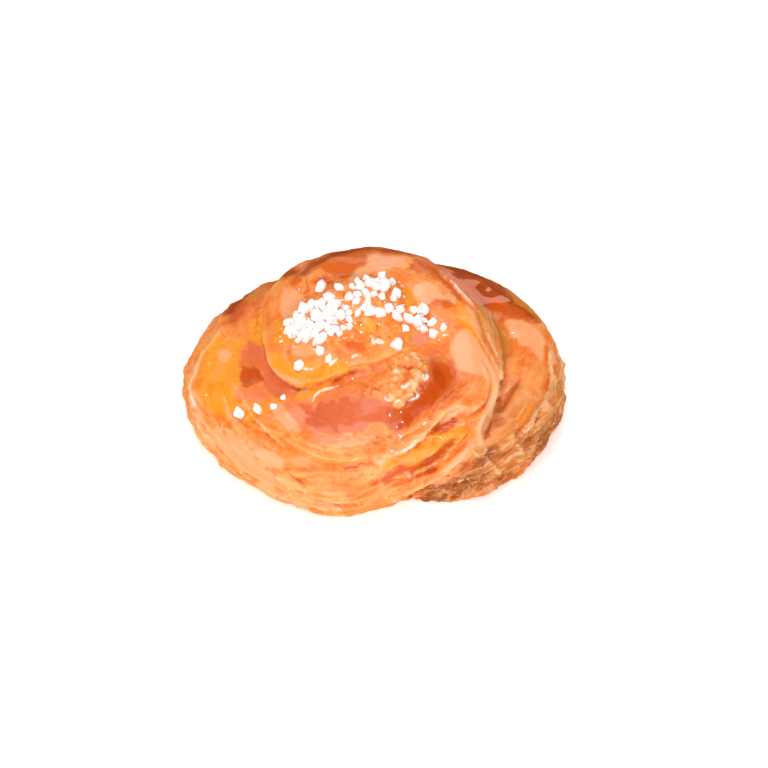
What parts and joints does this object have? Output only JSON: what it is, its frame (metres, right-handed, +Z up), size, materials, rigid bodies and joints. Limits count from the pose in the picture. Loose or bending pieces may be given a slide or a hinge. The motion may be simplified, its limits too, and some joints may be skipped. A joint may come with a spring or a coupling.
{
  "type": "glazed ensaimada bun",
  "caption": "Round bun of laminated dough rolled into a rising spiral, glazed, with pearl sugar baked on its crown and a flat base.",
  "frame": {"origin": "middle of the flat base, below the middle of the bun's box", "axes": "+Z up out of the crown, +X to the right along the bun's longest side, towards the strip's outer turn; the tucked tail is at the front right, towards -Y"},
  "size_m": [0.107, 0.0898, 0.0424],
  "materials": {
    "dough": "golden-brown laminated dough under a clear sugar glaze",
    "sugar": "white pearl sugar, slightly translucent, with dull flat faces"
  },
  "bodies": {
    "root": {"ensaimada": "dough"}
  },
  "joints": []
}
